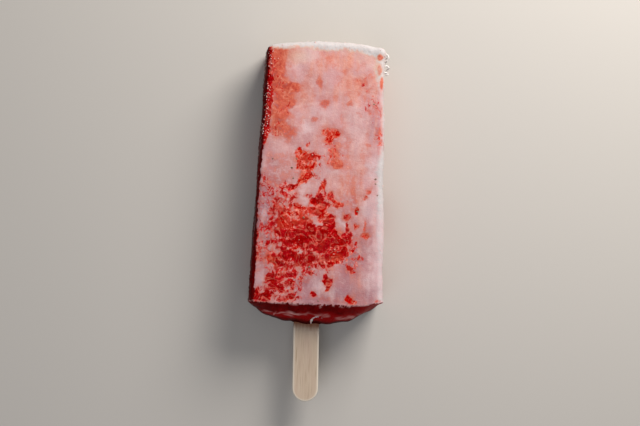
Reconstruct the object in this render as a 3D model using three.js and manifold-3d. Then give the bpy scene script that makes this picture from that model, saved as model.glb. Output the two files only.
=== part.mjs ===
// A rectangular ice pop: one block of cream frozen with crushed strawberry, cast round a flat wooden stick.
// It lies on its flat back face, with its broad front face up. Units are millimetres.
// +X runs across the pop, +Y from the stick to the tip, and +Z up through its thickness.
// The block tapers towards the tip, as it has to slide out of its mould. Its base is the mould's open mouth,
// where the mix swelled into a low dome round the stick as it froze.
import * as THREE from "three";
import { mergeVertices } from "three/addons/utils/BufferGeometryUtils.js";
import Module from "manifold-3d";

const { lerp, clamp, smoothstep, degToRad } = THREE.MathUtils;

// The frozen block.
const BLOCK_LENGTH = 99.6; // from the base's front edge to the tip's corners
const BASE_WIDTH = 52;
const TIP_WIDTH = 46;
const BASE_THICKNESS = 24;
const TIP_THICKNESS = 22;
const LONG_EDGE_RADIUS = 2.6;
const TIP_EDGE_RADIUS = 2.2;
const TIP_CROWN = 2.4; // the tip's rise in the middle
const TIP_CROWN_X = 7.6;
const TIP_CROWN_REACH = 20; // how far down the sides the rise fades

// The dome at the base, steeper on the left than on the right.
const DOME_HEIGHT = 7.5;
const DOME_X = 1;
const DOME_POWER_LEFT = 3;
const DOME_POWER_RIGHT = 2.1;
const DOME_POWER_THROUGH = 2.2;
const DOME_RIPPLE = 0.4;
const DOME_RIPPLE_WAVE = 29;
const DOME_RIPPLE_PHASE = -0.65; // radians

// The lip round the base, where the mix met the mould's rim: wavy, and lifted at its right corner.
const LIP_UNEVENNESS = 0.35;
const LIP_WAVE = 8.5;
const LIP_WAVE_THROUGH = 14;
const LIP_PHASE = 0.7; // radians
const LIP_REACH = 5;
const LIP_LIFT = 1.7;
const LIP_LIFT_X = 13; // where the lift starts
const LIP_LIFT_REACH = 14;

// The block's slow lumps, which fade out towards the face it rests on.
const LUMP_HEIGHT = 0.2;
const LUMP_WAVE = 34;
const LUMP_SHRINK = 0.68; // each octave's wave and height, as a share of the one before
const LUMP_OCTAVES = 5;
const LUMP_TURN = 2.4; // radians between octaves
const REST_FADE = 4;

// The stick.
const STICK_LENGTH = 114;
const STICK_WIDTH = 10;
const STICK_THICKNESS = 2;
const STICK_CHAMFER = 0.25;
const STICK_SHOWN = 38; // from the base's front edge to the stick's end
const STICK_X = -3; // at the base's front edge
const STICK_LEAN = degToRad(-1.2); // its inner end leans to the left
const STICK_GAP = 0.3;

// Frost that grew out of the tip's right corner as thin needles, each curled into half an ellipse.
const FROST_THICKNESS = 0.6;
const FROST_ROOT = 0.1; // how deep the ellipses' middles lie in the side
const FROST_FROM = degToRad(105);
const FROST_TO = degToRad(-72);
const FROST_CURLS = [
  // height above the base edge, reach out of the side, half height, height above the rest face
  { y: 96.8, reach: 2.3, tall: 1.75, z: 18.6 },
  { y: 96.4, reach: 1.5, tall: 1, z: 16.9 },
  { y: 92.9, reach: 2, tall: 0.8, z: 18.1 },
  { y: 91, reach: 1.2, tall: 0.55, z: 17 },
];

// A flake of frozen cream that hangs as a hook on the dome, in front of the stick.
const FLAKE_THICKNESS = 0.9;
const FLAKE_X = 1.3;
const FLAKE_REACH = 2.5; // half its width
const FLAKE_Y = -7.1; // where its ends hang
const FLAKE_TALL = 2.6;
const FLAKE_Z = 15.5; // at its ends
const FLAKE_RISE = 4;
const FLAKE_FROM = degToRad(12);
const FLAKE_TO = degToRad(185);

// The grid that the block is drawn on, and the flats that stand for the other pieces' curves.
const STEPS_ACROSS = 26;
const STEPS_ALONG = 44;
const STEPS_THROUGH = 14;
const EDGE_STEPS = 2; // of them on each side of a rounded edge's middle
const STICK_END_STEPS = 40; // in each end's half turn
const BAR_SIDES = 6;
const BAR_STEPS = 8; // along a bent bar
const MERGE_DISTANCE = 0.001; // points nearer than this are one

const wasm = await Module();
wasm.setup();

/** A closed geometry as a solid that can be joined and cut. */
function solidOf(geometry) {
  const loose = geometry.index ? geometry.toNonIndexed() : geometry;
  const bare = new THREE.BufferGeometry().setAttribute("position", loose.getAttribute("position"));
  const merged = mergeVertices(bare, MERGE_DISTANCE);
  return new wasm.Manifold(
    new wasm.Mesh({
      numProp: 3,
      vertProperties: merged.attributes.position.array,
      triVerts: new Uint32Array(merged.index.array),
    }),
  );
}

/** A solid's surface as a geometry. */
function geometryOf(solid) {
  const { vertProperties, triVerts } = solid.getMesh();
  const geometry = new THREE.BufferGeometry();
  geometry.setAttribute("position", new THREE.BufferAttribute(new Float32Array(vertProperties), 3));
  geometry.setIndex(new THREE.BufferAttribute(new Uint32Array(triVerts), 1));
  geometry.computeVertexNormals();
  return geometry;
}

const widthAt = (y) => lerp(BASE_WIDTH, TIP_WIDTH, y / BLOCK_LENGTH);
const thicknessAt = (y) => lerp(BASE_THICKNESS, TIP_THICKNESS, y / BLOCK_LENGTH);

/** The block's slow lumps: crossed waves, each octave shorter, lower and turned from the last. */
function lumps(x, y, z) {
  let height = 0;
  for (let k = 0; k < LUMP_OCTAVES; k++) {
    const share = LUMP_SHRINK ** k;
    const pitch = (2 * Math.PI) / (LUMP_WAVE * share);
    const c = Math.cos(k * LUMP_TURN);
    const s = Math.sin(k * LUMP_TURN);
    const wave = Math.sin(pitch * (c * x + s * y) + k) * Math.cos(pitch * (c * y - s * x + z) + 2 * k);
    height += LUMP_HEIGHT * share * wave;
  }
  return height;
}

/** How far x is from a middle, as a share of the way to the side that it is on, at most 1. */
function shareOut(x, middle, half) {
  const way = x < middle ? half + middle : half - middle;
  return Math.min(1, Math.abs(x - middle) / way);
}

/** How far the dome stands below the base's edge at a point of the section. */
function domeDepth(x, z) {
  const across = shareOut(x, DOME_X, BASE_WIDTH / 2);
  const through = Math.min(1, Math.abs(z / (BASE_THICKNESS / 2) - 1));
  const power = x < DOME_X ? DOME_POWER_LEFT : DOME_POWER_RIGHT;
  const bowl = (1 - across ** power) * (1 - through ** DOME_POWER_THROUGH);
  const ripple = DOME_RIPPLE * Math.sin((2 * Math.PI * x) / DOME_RIPPLE_WAVE + DOME_RIPPLE_PHASE);
  return bowl * (DOME_HEIGHT + ripple);
}

/** How far the lip at the base is moved along the pop: its waves, and the lift of its right corner. */
function lipShift(x, y, z) {
  const turn = 2 * Math.PI;
  const wave = Math.sin((turn * x) / LIP_WAVE + LIP_PHASE) * Math.cos((turn * z) / LIP_WAVE_THROUGH);
  const lift = clamp((x - LIP_LIFT_X) / (BASE_WIDTH / 2 - LIP_LIFT_X), 0, 1) ** 2;
  return (
    LIP_UNEVENNESS * wave * (1 - smoothstep(y, 0, LIP_REACH)) +
    LIP_LIFT * lift * (1 - smoothstep(y, 0, LIP_LIFT_REACH))
  );
}

/** Where a grid line falls between -1 and 1: evenly on the flat, then at even turns of the rounded edge. */
function spread(t, half, radius, steps) {
  const flat = 1 - (2 * EDGE_STEPS) / steps;
  const turned = (Math.abs(t) - flat) / (1 - flat);
  if (turned <= 0) return (t / flat) * (half - radius);
  return Math.sign(t) * (half - radius + radius * Math.tan((turned * Math.PI) / 4));
}

/** The place on the block of a point of a cube whose sides run from -1 to 1. */
function blockPoint(u, v, w) {
  const reach = BLOCK_LENGTH / 2;
  // The base has no rounded edge, so only the tip's half of the length is spread.
  const y = reach + (v > 0 ? spread(v, reach, TIP_EDGE_RADIUS, STEPS_ALONG) : v * reach);
  const half = widthAt(y) / 2;
  const middle = thicknessAt(y) / 2;
  const x = spread(u, half, LONG_EDGE_RADIUS, STEPS_ACROSS);
  const z = middle + spread(w, middle, LONG_EDGE_RADIUS, STEPS_THROUGH);

  const flatX = half - LONG_EDGE_RADIUS;
  const core = new THREE.Vector3(
    clamp(x, -flatX, flatX),
    Math.min(y, BLOCK_LENGTH - TIP_EDGE_RADIUS),
    clamp(z, LONG_EDGE_RADIUS, 2 * middle - LONG_EDGE_RADIUS),
  );
  const radii = new THREE.Vector3(LONG_EDGE_RADIUS, TIP_EDGE_RADIUS, LONG_EDGE_RADIUS);
  const out = new THREE.Vector3(x, y, z).sub(core).divide(radii);
  const largest = Math.max(Math.abs(out.x), Math.abs(out.y), Math.abs(out.z));
  if (largest > 0) out.multiplyScalar(largest / out.length());
  const point = core.clone().add(out.clone().multiply(radii));

  const rise = smoothstep(point.z, 0, REST_FADE);
  point.addScaledVector(out, lumps(point.x, point.y, point.z) * rise);
  const nearTip = smoothstep(point.y, BLOCK_LENGTH - TIP_CROWN_REACH, BLOCK_LENGTH);
  point.y += TIP_CROWN * nearTip * (1 - shareOut(point.x, TIP_CROWN_X, half) ** 2);
  point.y += lipShift(point.x, point.y, point.z);
  if (v === -1) point.y -= domeDepth(point.x, point.z);
  return point;
}

/** The block before the stick's slot is cut: a cube's grid, with each point moved to its place. */
function blockGeometry() {
  const geometry = new THREE.BoxGeometry(2, 2, 2, STEPS_ACROSS, STEPS_ALONG, STEPS_THROUGH);
  const place = geometry.getAttribute("position");
  const exact = (t) => Number(t.toFixed(6)); // the box's sides come out a hair off 1
  for (let i = 0; i < place.count; i++) {
    const point = blockPoint(exact(place.getX(i)), exact(place.getY(i)), exact(place.getZ(i)));
    place.setXYZ(i, point.x, point.y, point.z);
  }
  return geometry;
}

/** The stick, made larger by `gap` on every side where it is to cut its slot. */
function stickGeometry(gap = 0) {
  const radius = STICK_WIDTH / 2 + gap;
  const bevel = STICK_CHAMFER;
  const straight = STICK_LENGTH / 2 - STICK_WIDTH / 2;
  const outline = new THREE.Shape();
  outline.absarc(0, straight, radius - bevel, 0, Math.PI, false);
  outline.absarc(0, -straight, radius - bevel, Math.PI, 2 * Math.PI, false);
  outline.closePath();
  const depth = STICK_THICKNESS + 2 * gap - 2 * bevel;
  const geometry = new THREE.ExtrudeGeometry(outline, {
    depth,
    curveSegments: STICK_END_STEPS / 2, // an arc takes two steps for each of these
    bevelThickness: bevel,
    bevelSize: bevel,
    bevelSegments: 1,
  });
  return geometry.translate(0, 0, -depth / 2);
}

/** Where the stick lies: along the block's middle plane, leaning a little to one side. */
function stickPlace() {
  const drop = Math.atan((BASE_THICKNESS - TIP_THICKNESS) / 2 / BLOCK_LENGTH);
  const place = new THREE.Object3D();
  place.rotation.set(-drop, 0, -STICK_LEAN, "ZYX");
  const ahead = STICK_LENGTH / 2 - STICK_SHOWN;
  place.position.set(
    STICK_X + ahead * Math.sin(STICK_LEAN),
    ahead,
    BASE_THICKNESS / 2 - ahead * Math.sin(drop),
  );
  place.updateMatrix();
  return place;
}

/** A thin round bar bent along a smooth curve through some points. */
function barGeometry(points, thickness) {
  const section = new THREE.Shape();
  section.absarc(0, 0, thickness / 2, 0, 2 * Math.PI, false);
  return new THREE.ExtrudeGeometry(section, {
    curveSegments: BAR_SIDES / 2, // an arc takes two steps for each of these
    steps: BAR_STEPS,
    extrudePath: new THREE.CatmullRomCurve3(points),
  });
}

/** Points along a part of an ellipse, from one angle to another: its sine also carries them up. */
function arcPoints(middle, reach, tall, rise, from, to) {
  return Array.from({ length: BAR_STEPS + 1 }, (_, i) => {
    const angle = lerp(from, to, i / BAR_STEPS);
    const way = new THREE.Vector3(reach * Math.cos(angle), tall * Math.sin(angle), rise * Math.sin(angle));
    return way.add(middle);
  });
}

/** The frost needles, each rooted in the block's right side and curling out and down from it. */
function frostCurls() {
  return FROST_CURLS.map(({ y, reach, tall, z }) => {
    const middle = new THREE.Vector3(widthAt(y) / 2 - FROST_ROOT, y, z);
    return barGeometry(arcPoints(middle, reach, tall, 0, FROST_FROM, FROST_TO), FROST_THICKNESS);
  });
}

/** The hanging flake, a hook whose top is frozen to the dome and whose ends hang clear of it. */
function hangingFlake() {
  const middle = new THREE.Vector3(FLAKE_X, FLAKE_Y, FLAKE_Z);
  const points = arcPoints(middle, FLAKE_REACH, FLAKE_TALL, FLAKE_RISE, FLAKE_FROM, FLAKE_TO);
  return barGeometry(points, FLAKE_THICKNESS);
}

/** The frozen block with its frost and flake, and the slot that the stick sits in. */
function frozenBlock() {
  const grown = [...frostCurls(), hangingFlake()].map(solidOf);
  const joined = grown.reduce((block, piece) => block.add(piece), solidOf(blockGeometry()));
  const slot = solidOf(stickGeometry(STICK_GAP).applyMatrix4(stickPlace().matrix));
  const material = new THREE.MeshStandardMaterial({ color: "#d88f88", roughness: 0.45, metalness: 0 });
  const mesh = new THREE.Mesh(geometryOf(joined.subtract(slot)), material);
  mesh.name = "frozen_block";
  return mesh;
}

/** The flat birch stick, with round ends and eased edges. */
function stick() {
  const material = new THREE.MeshStandardMaterial({ color: "#cdb892", roughness: 0.75, metalness: 0 });
  const mesh = new THREE.Mesh(stickGeometry(), material);
  mesh.name = "stick";
  const place = stickPlace();
  mesh.position.copy(place.position);
  mesh.quaternion.copy(place.quaternion);
  return mesh;
}

/** The pop, moved so that the origin is under the middle of its box, on the surface it rests on. */
function icePop() {
  const pop = new THREE.Group();
  pop.add(frozenBlock(), stick());
  pop.updateMatrixWorld(true);
  const box = new THREE.Box3().setFromObject(pop, true);
  const middle = box.getCenter(new THREE.Vector3());
  pop.position.set(-middle.x, -middle.y, 0);
  return pop;
}

export default icePop();
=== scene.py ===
# A rectangular ice pop of cream and crushed strawberry on a flat birch stick, lying on its back.
# The sections follow the pop as it is made: where it lies, the frozen block, the frost and the hanging
# flake that grew on it, the ice crystals and seeds in its skin, the stick, and then the table and light.
import math

import bpy
import numpy as np
from mathutils import Matrix, Vector


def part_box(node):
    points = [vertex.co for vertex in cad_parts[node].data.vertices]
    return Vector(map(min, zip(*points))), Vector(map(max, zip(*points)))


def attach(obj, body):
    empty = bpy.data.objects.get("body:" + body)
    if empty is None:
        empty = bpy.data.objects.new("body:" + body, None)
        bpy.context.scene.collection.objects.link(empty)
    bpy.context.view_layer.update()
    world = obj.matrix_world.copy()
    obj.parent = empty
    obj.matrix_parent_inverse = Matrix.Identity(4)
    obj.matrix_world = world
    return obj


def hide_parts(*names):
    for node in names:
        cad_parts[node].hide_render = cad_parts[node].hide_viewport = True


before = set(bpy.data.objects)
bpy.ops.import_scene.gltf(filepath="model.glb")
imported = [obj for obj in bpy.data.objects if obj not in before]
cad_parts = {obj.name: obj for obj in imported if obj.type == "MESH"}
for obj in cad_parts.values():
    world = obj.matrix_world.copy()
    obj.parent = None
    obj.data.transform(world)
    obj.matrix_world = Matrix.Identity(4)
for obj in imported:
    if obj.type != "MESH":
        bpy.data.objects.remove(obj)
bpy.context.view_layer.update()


# ---------------------------------------- where the pop lies
# Shapes are worked out in millimetres in the pop's own frame: x runs across the bar, y from the middle
# of the base's front edge to the tip, and z up from the face it rests on. The stick ties it to the CAD.

MM = 0.001
BLOCK_LENGTH = 99.6  # from the base's front edge to the tip's corners
BASE_WIDTH, TIP_WIDTH = 52, 46
BASE_THICKNESS, TIP_THICKNESS = 24, 22
HALF_BASE = BASE_THICKNESS / 2

STICK_LENGTH, STICK_WIDTH, STICK_THICKNESS = 114, 10, 2
STICK_SHOWN = 38  # from the base's front edge to the stick's end
STICK_X = -3  # at the base's front edge
STICK_LEAN = math.radians(-1.2)  # its inner end leans to the left
STICK_DROP = math.atan((BASE_THICKNESS - TIP_THICKNESS) / 2 / BLOCK_LENGTH)

stick_ahead = STICK_LENGTH / 2 - STICK_SHOWN
stick_centre = np.array((
    STICK_X + stick_ahead * math.sin(STICK_LEAN),
    stick_ahead,
    HALF_BASE - stick_ahead * math.sin(STICK_DROP),
))
shift = np.array(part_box("stick")).mean(axis=0) - stick_centre * MM


def in_frame(points):
    """Millimetres in the pop's frame as metres in the CAD's: scaled, then moved by one shift."""
    return np.asarray(points) * MM + shift


# ---------------------------------------- the frozen block
# The bar itself is cream stirred with crushed strawberry and frozen in a tapered mould, base up. The red
# syrup ran down one side and gathered at the mouth, where the mix swelled into a dome round the stick.

EDGE_RADIUS, TIP_RADIUS = 2.6, 2.2
TIP_CROWN, TIP_CROWN_X, TIP_CROWN_REACH = 2.4, 7.6, 20
DOME_HEIGHT, DOME_X = 7.5, 1
DOME_POWER_LEFT, DOME_POWER_RIGHT, DOME_POWER_THROUGH = 3, 2.1, 2.2
DOME_RIPPLE, DOME_RIPPLE_WAVE, DOME_RIPPLE_PHASE = 0.4, 29, -0.65
LIP_UNEVENNESS, LIP_WAVE, LIP_WAVE_THROUGH, LIP_PHASE, LIP_REACH = 0.35, 8.5, 14, 0.7, 5
LIP_LIFT, LIP_LIFT_X, LIP_LIFT_REACH = 1.7, 13, 14
LUMP_HEIGHT, LUMP_WAVE, LUMP_SHRINK, LUMP_OCTAVES, LUMP_TURN = 0.2, 34, 0.68, 5, 2.4
REST_FADE = 4

CELLS_ACROSS, CELLS_ALONG, CELLS_THROUGH, CELLS_IN_EDGE = 114, 226, 48, 5  # each about 0.45 mm


def smooth(value, low, high):
    """0 below low and 1 above high, with a smooth step between: 3t^2 - 2t^3."""
    t = np.clip((value - low) / (high - low), 0, 1)
    return t * t * (3 - 2 * t)


def half_width_at(y):
    """Half the bar's width, which tapers evenly from the base to the tip."""
    return (BASE_WIDTH + (TIP_WIDTH - BASE_WIDTH) * y / BLOCK_LENGTH) / 2


def box_skin(*counts):
    """The skin of a box cut into cells: its corners, as whole numbers, and the quads between them."""
    skin = np.ones([count + 1 for count in counts], dtype=bool)
    skin[1:-1, 1:-1, 1:-1] = False
    number = np.cumsum(skin).reshape(skin.shape) - 1
    quads = []
    for axis in range(3):
        for end in (0, -1):
            index = number.take(end, axis)
            cells = np.stack((index[:-1, :-1], index[1:, :-1], index[1:, 1:], index[:-1, 1:]), axis=-1)
            outward = (end < 0) == (axis != 1)
            quads.append(cells.reshape(-1, 4)[:, ::1 if outward else -1])
    return np.argwhere(skin), np.concatenate(quads)


def spread(t, half, radius, cells):
    """A grid line's place from -1 to 1: even on the flat, then at even turns of the rounded edge."""
    flat = 1 - 2 * CELLS_IN_EDGE / cells
    turned = np.maximum(0, (np.abs(t) - flat) / (1 - flat))
    edge = np.sign(t) * (half - radius + radius * np.tan(turned * math.pi / 4))
    return np.where(turned > 0, edge, t / flat * (half - radius))


def lumps(p):
    """The bar's slow unevenness: crossed waves, each shorter and lower than the last and turned from it."""
    x, y, z = p.T
    height = 0
    for k in range(LUMP_OCTAVES):
        share = LUMP_SHRINK ** k
        pitch = 2 * math.pi / (LUMP_WAVE * share)
        c, s = math.cos(k * LUMP_TURN), math.sin(k * LUMP_TURN)
        ridge = np.sin(pitch * (c * x + s * y) + k)
        height += LUMP_HEIGHT * share * ridge * np.cos(pitch * (c * y - s * x + z) + 2 * k)
    return height


def share_out(x, middle, half):
    """How far x is from a middle, as a share of the way to the side that it is on, at most 1."""
    return np.minimum(1, np.abs(x - middle) / np.where(x < middle, half + middle, half - middle))


def dome_depth(x, z):
    """How far the dome stands below the base's edge: two crossed bowls, 1 - share^power, with a ripple."""
    across = share_out(x, DOME_X, BASE_WIDTH / 2)
    through = np.minimum(1, np.abs(z / HALF_BASE - 1))
    power = np.where(x < DOME_X, DOME_POWER_LEFT, DOME_POWER_RIGHT)
    ripple = DOME_RIPPLE * np.sin(2 * math.pi * x / DOME_RIPPLE_WAVE + DOME_RIPPLE_PHASE)
    return (1 - across ** power) * (1 - through ** DOME_POWER_THROUGH) * (DOME_HEIGHT + ripple)


def lip_shift(p):
    """How far the lip at the base is moved along the pop: its waves, and the lift of its right corner."""
    x, y, z = p.T
    turn = 2 * math.pi
    wave = np.sin(turn * x / LIP_WAVE + LIP_PHASE) * np.cos(turn * z / LIP_WAVE_THROUGH)
    lift = np.clip((x - LIP_LIFT_X) / (BASE_WIDTH / 2 - LIP_LIFT_X), 0, 1) ** 2
    waves = LIP_UNEVENNESS * wave * (1 - smooth(y, 0, LIP_REACH))
    return waves + LIP_LIFT * lift * (1 - smooth(y, 0, LIP_LIFT_REACH))


def block_surface(corners):
    """The bar before its fine relief: a tapered box whose edges are pulled onto quarter rounds, lumped,
    crowned at the tip, wavy at the lip and domed at the base. Gives the points, the way out of each, and
    which are on the base."""
    u, v, w = (2 * corners / (CELLS_ACROSS, CELLS_ALONG, CELLS_THROUGH) - 1).T
    reach = BLOCK_LENGTH / 2
    y = reach + np.where(v > 0, spread(v, reach, TIP_RADIUS, CELLS_ALONG), v * reach)
    half = half_width_at(y)
    middle = (BASE_THICKNESS + (TIP_THICKNESS - BASE_THICKNESS) * y / BLOCK_LENGTH) / 2
    x = spread(u, half, EDGE_RADIUS, CELLS_ACROSS)
    z = middle + spread(w, middle, EDGE_RADIUS, CELLS_THROUGH)

    core = np.stack((
        np.clip(x, EDGE_RADIUS - half, half - EDGE_RADIUS),
        np.minimum(y, BLOCK_LENGTH - TIP_RADIUS),
        np.clip(z, EDGE_RADIUS, 2 * middle - EDGE_RADIUS),
    ), axis=1)
    radii = np.array((EDGE_RADIUS, TIP_RADIUS, EDGE_RADIUS))
    out = (np.stack((x, y, z), axis=1) - core) / radii
    length = np.linalg.norm(out, axis=1)
    out *= (np.abs(out).max(axis=1) / np.where(length > 0, length, 1))[:, None]
    p = core + out * radii

    p += out * (lumps(p) * smooth(p[:, 2], 0, REST_FADE))[:, None]
    near_tip = smooth(p[:, 1], BLOCK_LENGTH - TIP_CROWN_REACH, BLOCK_LENGTH)
    p[:, 1] += TIP_CROWN * near_tip * (1 - share_out(p[:, 0], TIP_CROWN_X, half) ** 2)
    p[:, 1] += lip_shift(p)
    base = v == -1
    p[:, 1] -= np.where(base, dome_depth(p[:, 0], p[:, 2]), 0)
    return p, out, base


def cell_key(cell):
    """A number from 0 to 4095 for each cell of a grid, scattered by three large primes."""
    x, y, z = (cell * (73856093, 19349663, 83492791)).T
    return (x ^ y ^ z) % 4096


def noise(p, size, seed):
    """Smooth noise from about -1 to 1: each point blends the slopes at the eight corners of its cell."""
    slopes = np.random.default_rng(seed).normal(size=(4096, 3))
    slopes /= np.linalg.norm(slopes, axis=1)[:, None]
    cell = np.floor(p / size).astype(np.int64)
    inside = p / size - cell
    blend = inside ** 3 * (inside * (inside * 6 - 15) + 10)
    total = np.zeros(len(p))
    for corner in np.ndindex(2, 2, 2):
        share = np.where(np.array(corner) == 1, blend, 1 - blend).prod(axis=1)
        total += share * ((inside - corner) * slopes[cell_key(cell + corner)]).sum(axis=1)
    return total * 1.6


def fractal_noise(p, size, octaves, seed):
    """Noise summed over octaves, each half the size and weight of the last."""
    layers = [noise(p, size / 2 ** k, seed + k) / 2 ** k for k in range(octaves)]
    return sum(layers) / (2 - 2 ** (1 - octaves))


def chunks(p, size, seed):
    """The bar cut into chunks, each nearest to one of the points strewn one to a cell. Gives how near each
    place is to its chunk's edge, as the nearest distance over the second nearest, and the chunk's own number
    from 0 to 1."""
    strewn = np.random.default_rng(seed).random((4096, 4))
    cell = np.floor(p / size).astype(np.int64)
    inside = p / size - cell
    nearest = np.full(len(p), 9.0)
    second, number = nearest.copy(), np.zeros(len(p))
    for step in np.ndindex(3, 3, 3):
        offset = np.array(step) - 1
        drawn = strewn[cell_key(cell + offset)]
        distance = np.linalg.norm(drawn[:, :3] + offset - inside, axis=1)
        number = np.where(distance < nearest, drawn[:, 3], number)
        second = np.minimum(second, np.maximum(nearest, distance))
        nearest = np.minimum(nearest, distance)
    return nearest / second, number


# The wet clots of strawberry in the front face. Each row is a clot's middle (x, y), its half width and
# half length, how red it is, from pink crumbs at 0.5 to whole flesh at 1, and its lean in degrees if any.
CLOTS = (
    # the lone clot above the middle, with its tail, and the streaks under it
    (3.3, 65.8, 3, 1.7, 0.8), (2.6, 63.8, 1.4, 1.8, 0.78), (5.4, 66, 1.1, 0.9, 0.76),
    (22.9, 66.6, 0.8, 1, 0.62), (22.8, 63, 0.9, 0.8, 0.6), (-5.5, 61, 0.9, 1, 0.54),
    (5, 60.2, 0.7, 2.2, 0.46, 32), (3, 57.3, 3, 0.5, 0.46, -12), (7, 57.8, 0.9, 0.9, 0.44),
    # the branching cluster in the middle
    (-9.2, 57.8, 1.4, 2.2, 0.76, 10), (-6.6, 55.8, 2.4, 1.6, 0.84), (-3.9, 56.2, 1.6, 1.3, 0.78),
    (-1.6, 56.3, 1.5, 1.3, 0.74), (-8.6, 52.8, 1.3, 1.9, 0.72), (-6.1, 52.4, 1.6, 2.5, 0.8),
    (-3.2, 52.8, 1.1, 2.6, 0.7, -18), (-5.6, 48.9, 2.3, 2, 0.8, 22), (-7.6, 46.8, 1.6, 1.3, 0.74, 28),
    (-9.4, 45.8, 0.9, 0.9, 0.66), (-11.5, 44.6, 1.5, 1.1, 0.96), (-14.2, 45.6, 1.6, 0.5, 0.62, -8),
    (-12.8, 40.4, 0.6, 2.2, 0.66, 6), (-17.3, 38.2, 0.9, 1.5, 0.7), (-14.6, 42.5, 0.6, 1.6, 0.56, -10),
    # the peak that rises from the great clot, and the clots on its right
    (1.2, 46.6, 1, 1.9, 0.72), (-0.2, 44, 0.8, 1.4, 0.76, -25), (-0.6, 41.8, 1.2, 1.9, 1),
    (-1.4, 39.2, 2.4, 1.8, 1), (-4.2, 41.2, 1.1, 0.9, 0.54), (-0.8, 36.2, 3.6, 2.2, 0.74),
    (1.7, 33.5, 2.2, 2.4, 0.76), (2, 38, 1.7, 1.8, 0.76), (1.4, 42.2, 1.1, 1.9, 0.66),
    (4.2, 42, 1.5, 1.5, 0.7, -30), (5.2, 40.4, 1.2, 1, 0.74, -40), (6.1, 37.9, 1.2, 1.2, 0.66),
    (8.6, 38.2, 1.3, 1.1, 0.68), (7, 39, 1, 0.8, 0.6),
    # the great clot
    (-9.5, 35.6, 4.6, 2.4, 0.72), (-13.4, 32.4, 2.6, 3.8, 0.84), (-9.4, 31.4, 3.6, 3, 0.74),
    (-5.2, 31.8, 2.8, 2.4, 0.8), (-13.2, 26.8, 3, 3, 0.8), (-8.4, 27.2, 3.6, 3.4, 0.84),
    (-3.4, 27, 3.2, 3.4, 0.86), (1.2, 26.8, 3.4, 3.4, 0.92), (4.4, 30.8, 2, 3.6, 0.86),
    (6.6, 26.4, 3, 2.6, 0.94), (10.6, 25.4, 2, 2.2, 0.84), (11, 29.4, 0.8, 2.2, 0.7),
    (-9.4, 22.8, 3.2, 2.6, 0.78), (-4.2, 22.8, 3, 2.4, 0.88), (1, 22.4, 3.2, 2.6, 0.84),
    (5.8, 21.6, 3.6, 3.2, 0.92), (9.8, 20.4, 2, 2.6, 0.78), (-12.2, 18.8, 3, 2.4, 0.72),
    (-16.8, 17.2, 2.4, 1.8, 0.76), (-15, 14.6, 3.6, 0.8, 0.9, -16), (-18.9, 16, 0.8, 2, 0.82, 14),
    (-8.2, 17.6, 2.4, 1.8, 0.78), (-3, 17.8, 1.6, 2.2, 0.84), (3.6, 17.2, 3.4, 2.4, 0.88),
    (7.4, 17.4, 2.4, 1.8, 0.76), (-5.2, 14, 0.9, 1.8, 0.76), (-2.4, 12.6, 2.2, 0.8, 0.62, 10),
    (-19.6, 26.4, 0.7, 2, 0.62), (-18.2, 30.6, 0.9, 1.9, 0.6), (-19, 21.4, 0.8, 2.2, 0.66, 8),
    # the spots on its right
    (14.3, 36.2, 0.8, 0.8, 0.92), (11, 33.6, 1.1, 1.1, 0.46), (14, 30, 0.7, 1.4, 0.46),
    (17.9, 26.7, 1.7, 0.9, 0.44), (17.2, 30, 0.5, 2, 0.36), (19.1, 43.4, 0.9, 0.9, 0.38),
    (17.6, 41.2, 0.9, 0.9, 0.5), (12.6, 20.4, 1.1, 1.1, 0.62), (12.2, 14.5, 0.9, 0.9, 0.86),
    (14.6, 16.6, 0.7, 1.2, 0.6, 20), (16, 19.2, 0.8, 1.2, 0.5), (13.9, 13.2, 1, 0.6, 0.66),
    # the clusters by the base
    (-17.2, 9.4, 1.9, 1.5, 0.88), (-14.6, 8.8, 2, 2, 0.96), (-16, 6.2, 2.2, 1.5, 0.84),
    (-13.4, 4.8, 1.2, 1.6, 0.78), (-10.4, 10.4, 2.4, 0.9, 0.78, 16), (-9.6, 8.4, 1.4, 1, 0.74),
    (-13.2, 12.2, 1.9, 0.6, 0.66, 12), (-9.4, 3, 2.3, 0.8, 0.82, 38), (-12.4, 0.9, 1.6, 1.2, 0.52),
    (-20.8, 1.4, 2.6, 1.8, 0.98), (-18.6, 2.9, 1.6, 1.2, 0.84), (-23, 3.2, 1.2, 1.6, 0.86),
    (3.2, 11.2, 0.7, 1.1, 0.82, -30), (4, 8.9, 1.4, 1.7, 0.9), (3.9, 6.4, 0.8, 1.2, 0.78),
    (-1.2, 3.9, 1.2, 1.2, 0.72), (12.4, 2.2, 1.6, 1.4, 0.7), (14.4, 1, 1.4, 1, 0.64),
    (-7.2, 9.8, 1.2, 0.8, 0.6), (23.8, 1.4, 1.2, 1.2, 0.5), (-4.6, 33, 0.6, 0.6, 1),
    # the bits along the left edge below the middle
    (-24, 25.4, 1, 2.6, 0.82), (-24.4, 18, 0.9, 3.2, 0.84), (-24.8, 11.6, 0.7, 2.4, 0.76),
    (-24, 34.2, 0.8, 1.6, 0.6), (-23.6, 42, 0.8, 2.4, 0.56), (-23, 62.6, 1.2, 2.2, 0.8),
)

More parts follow.
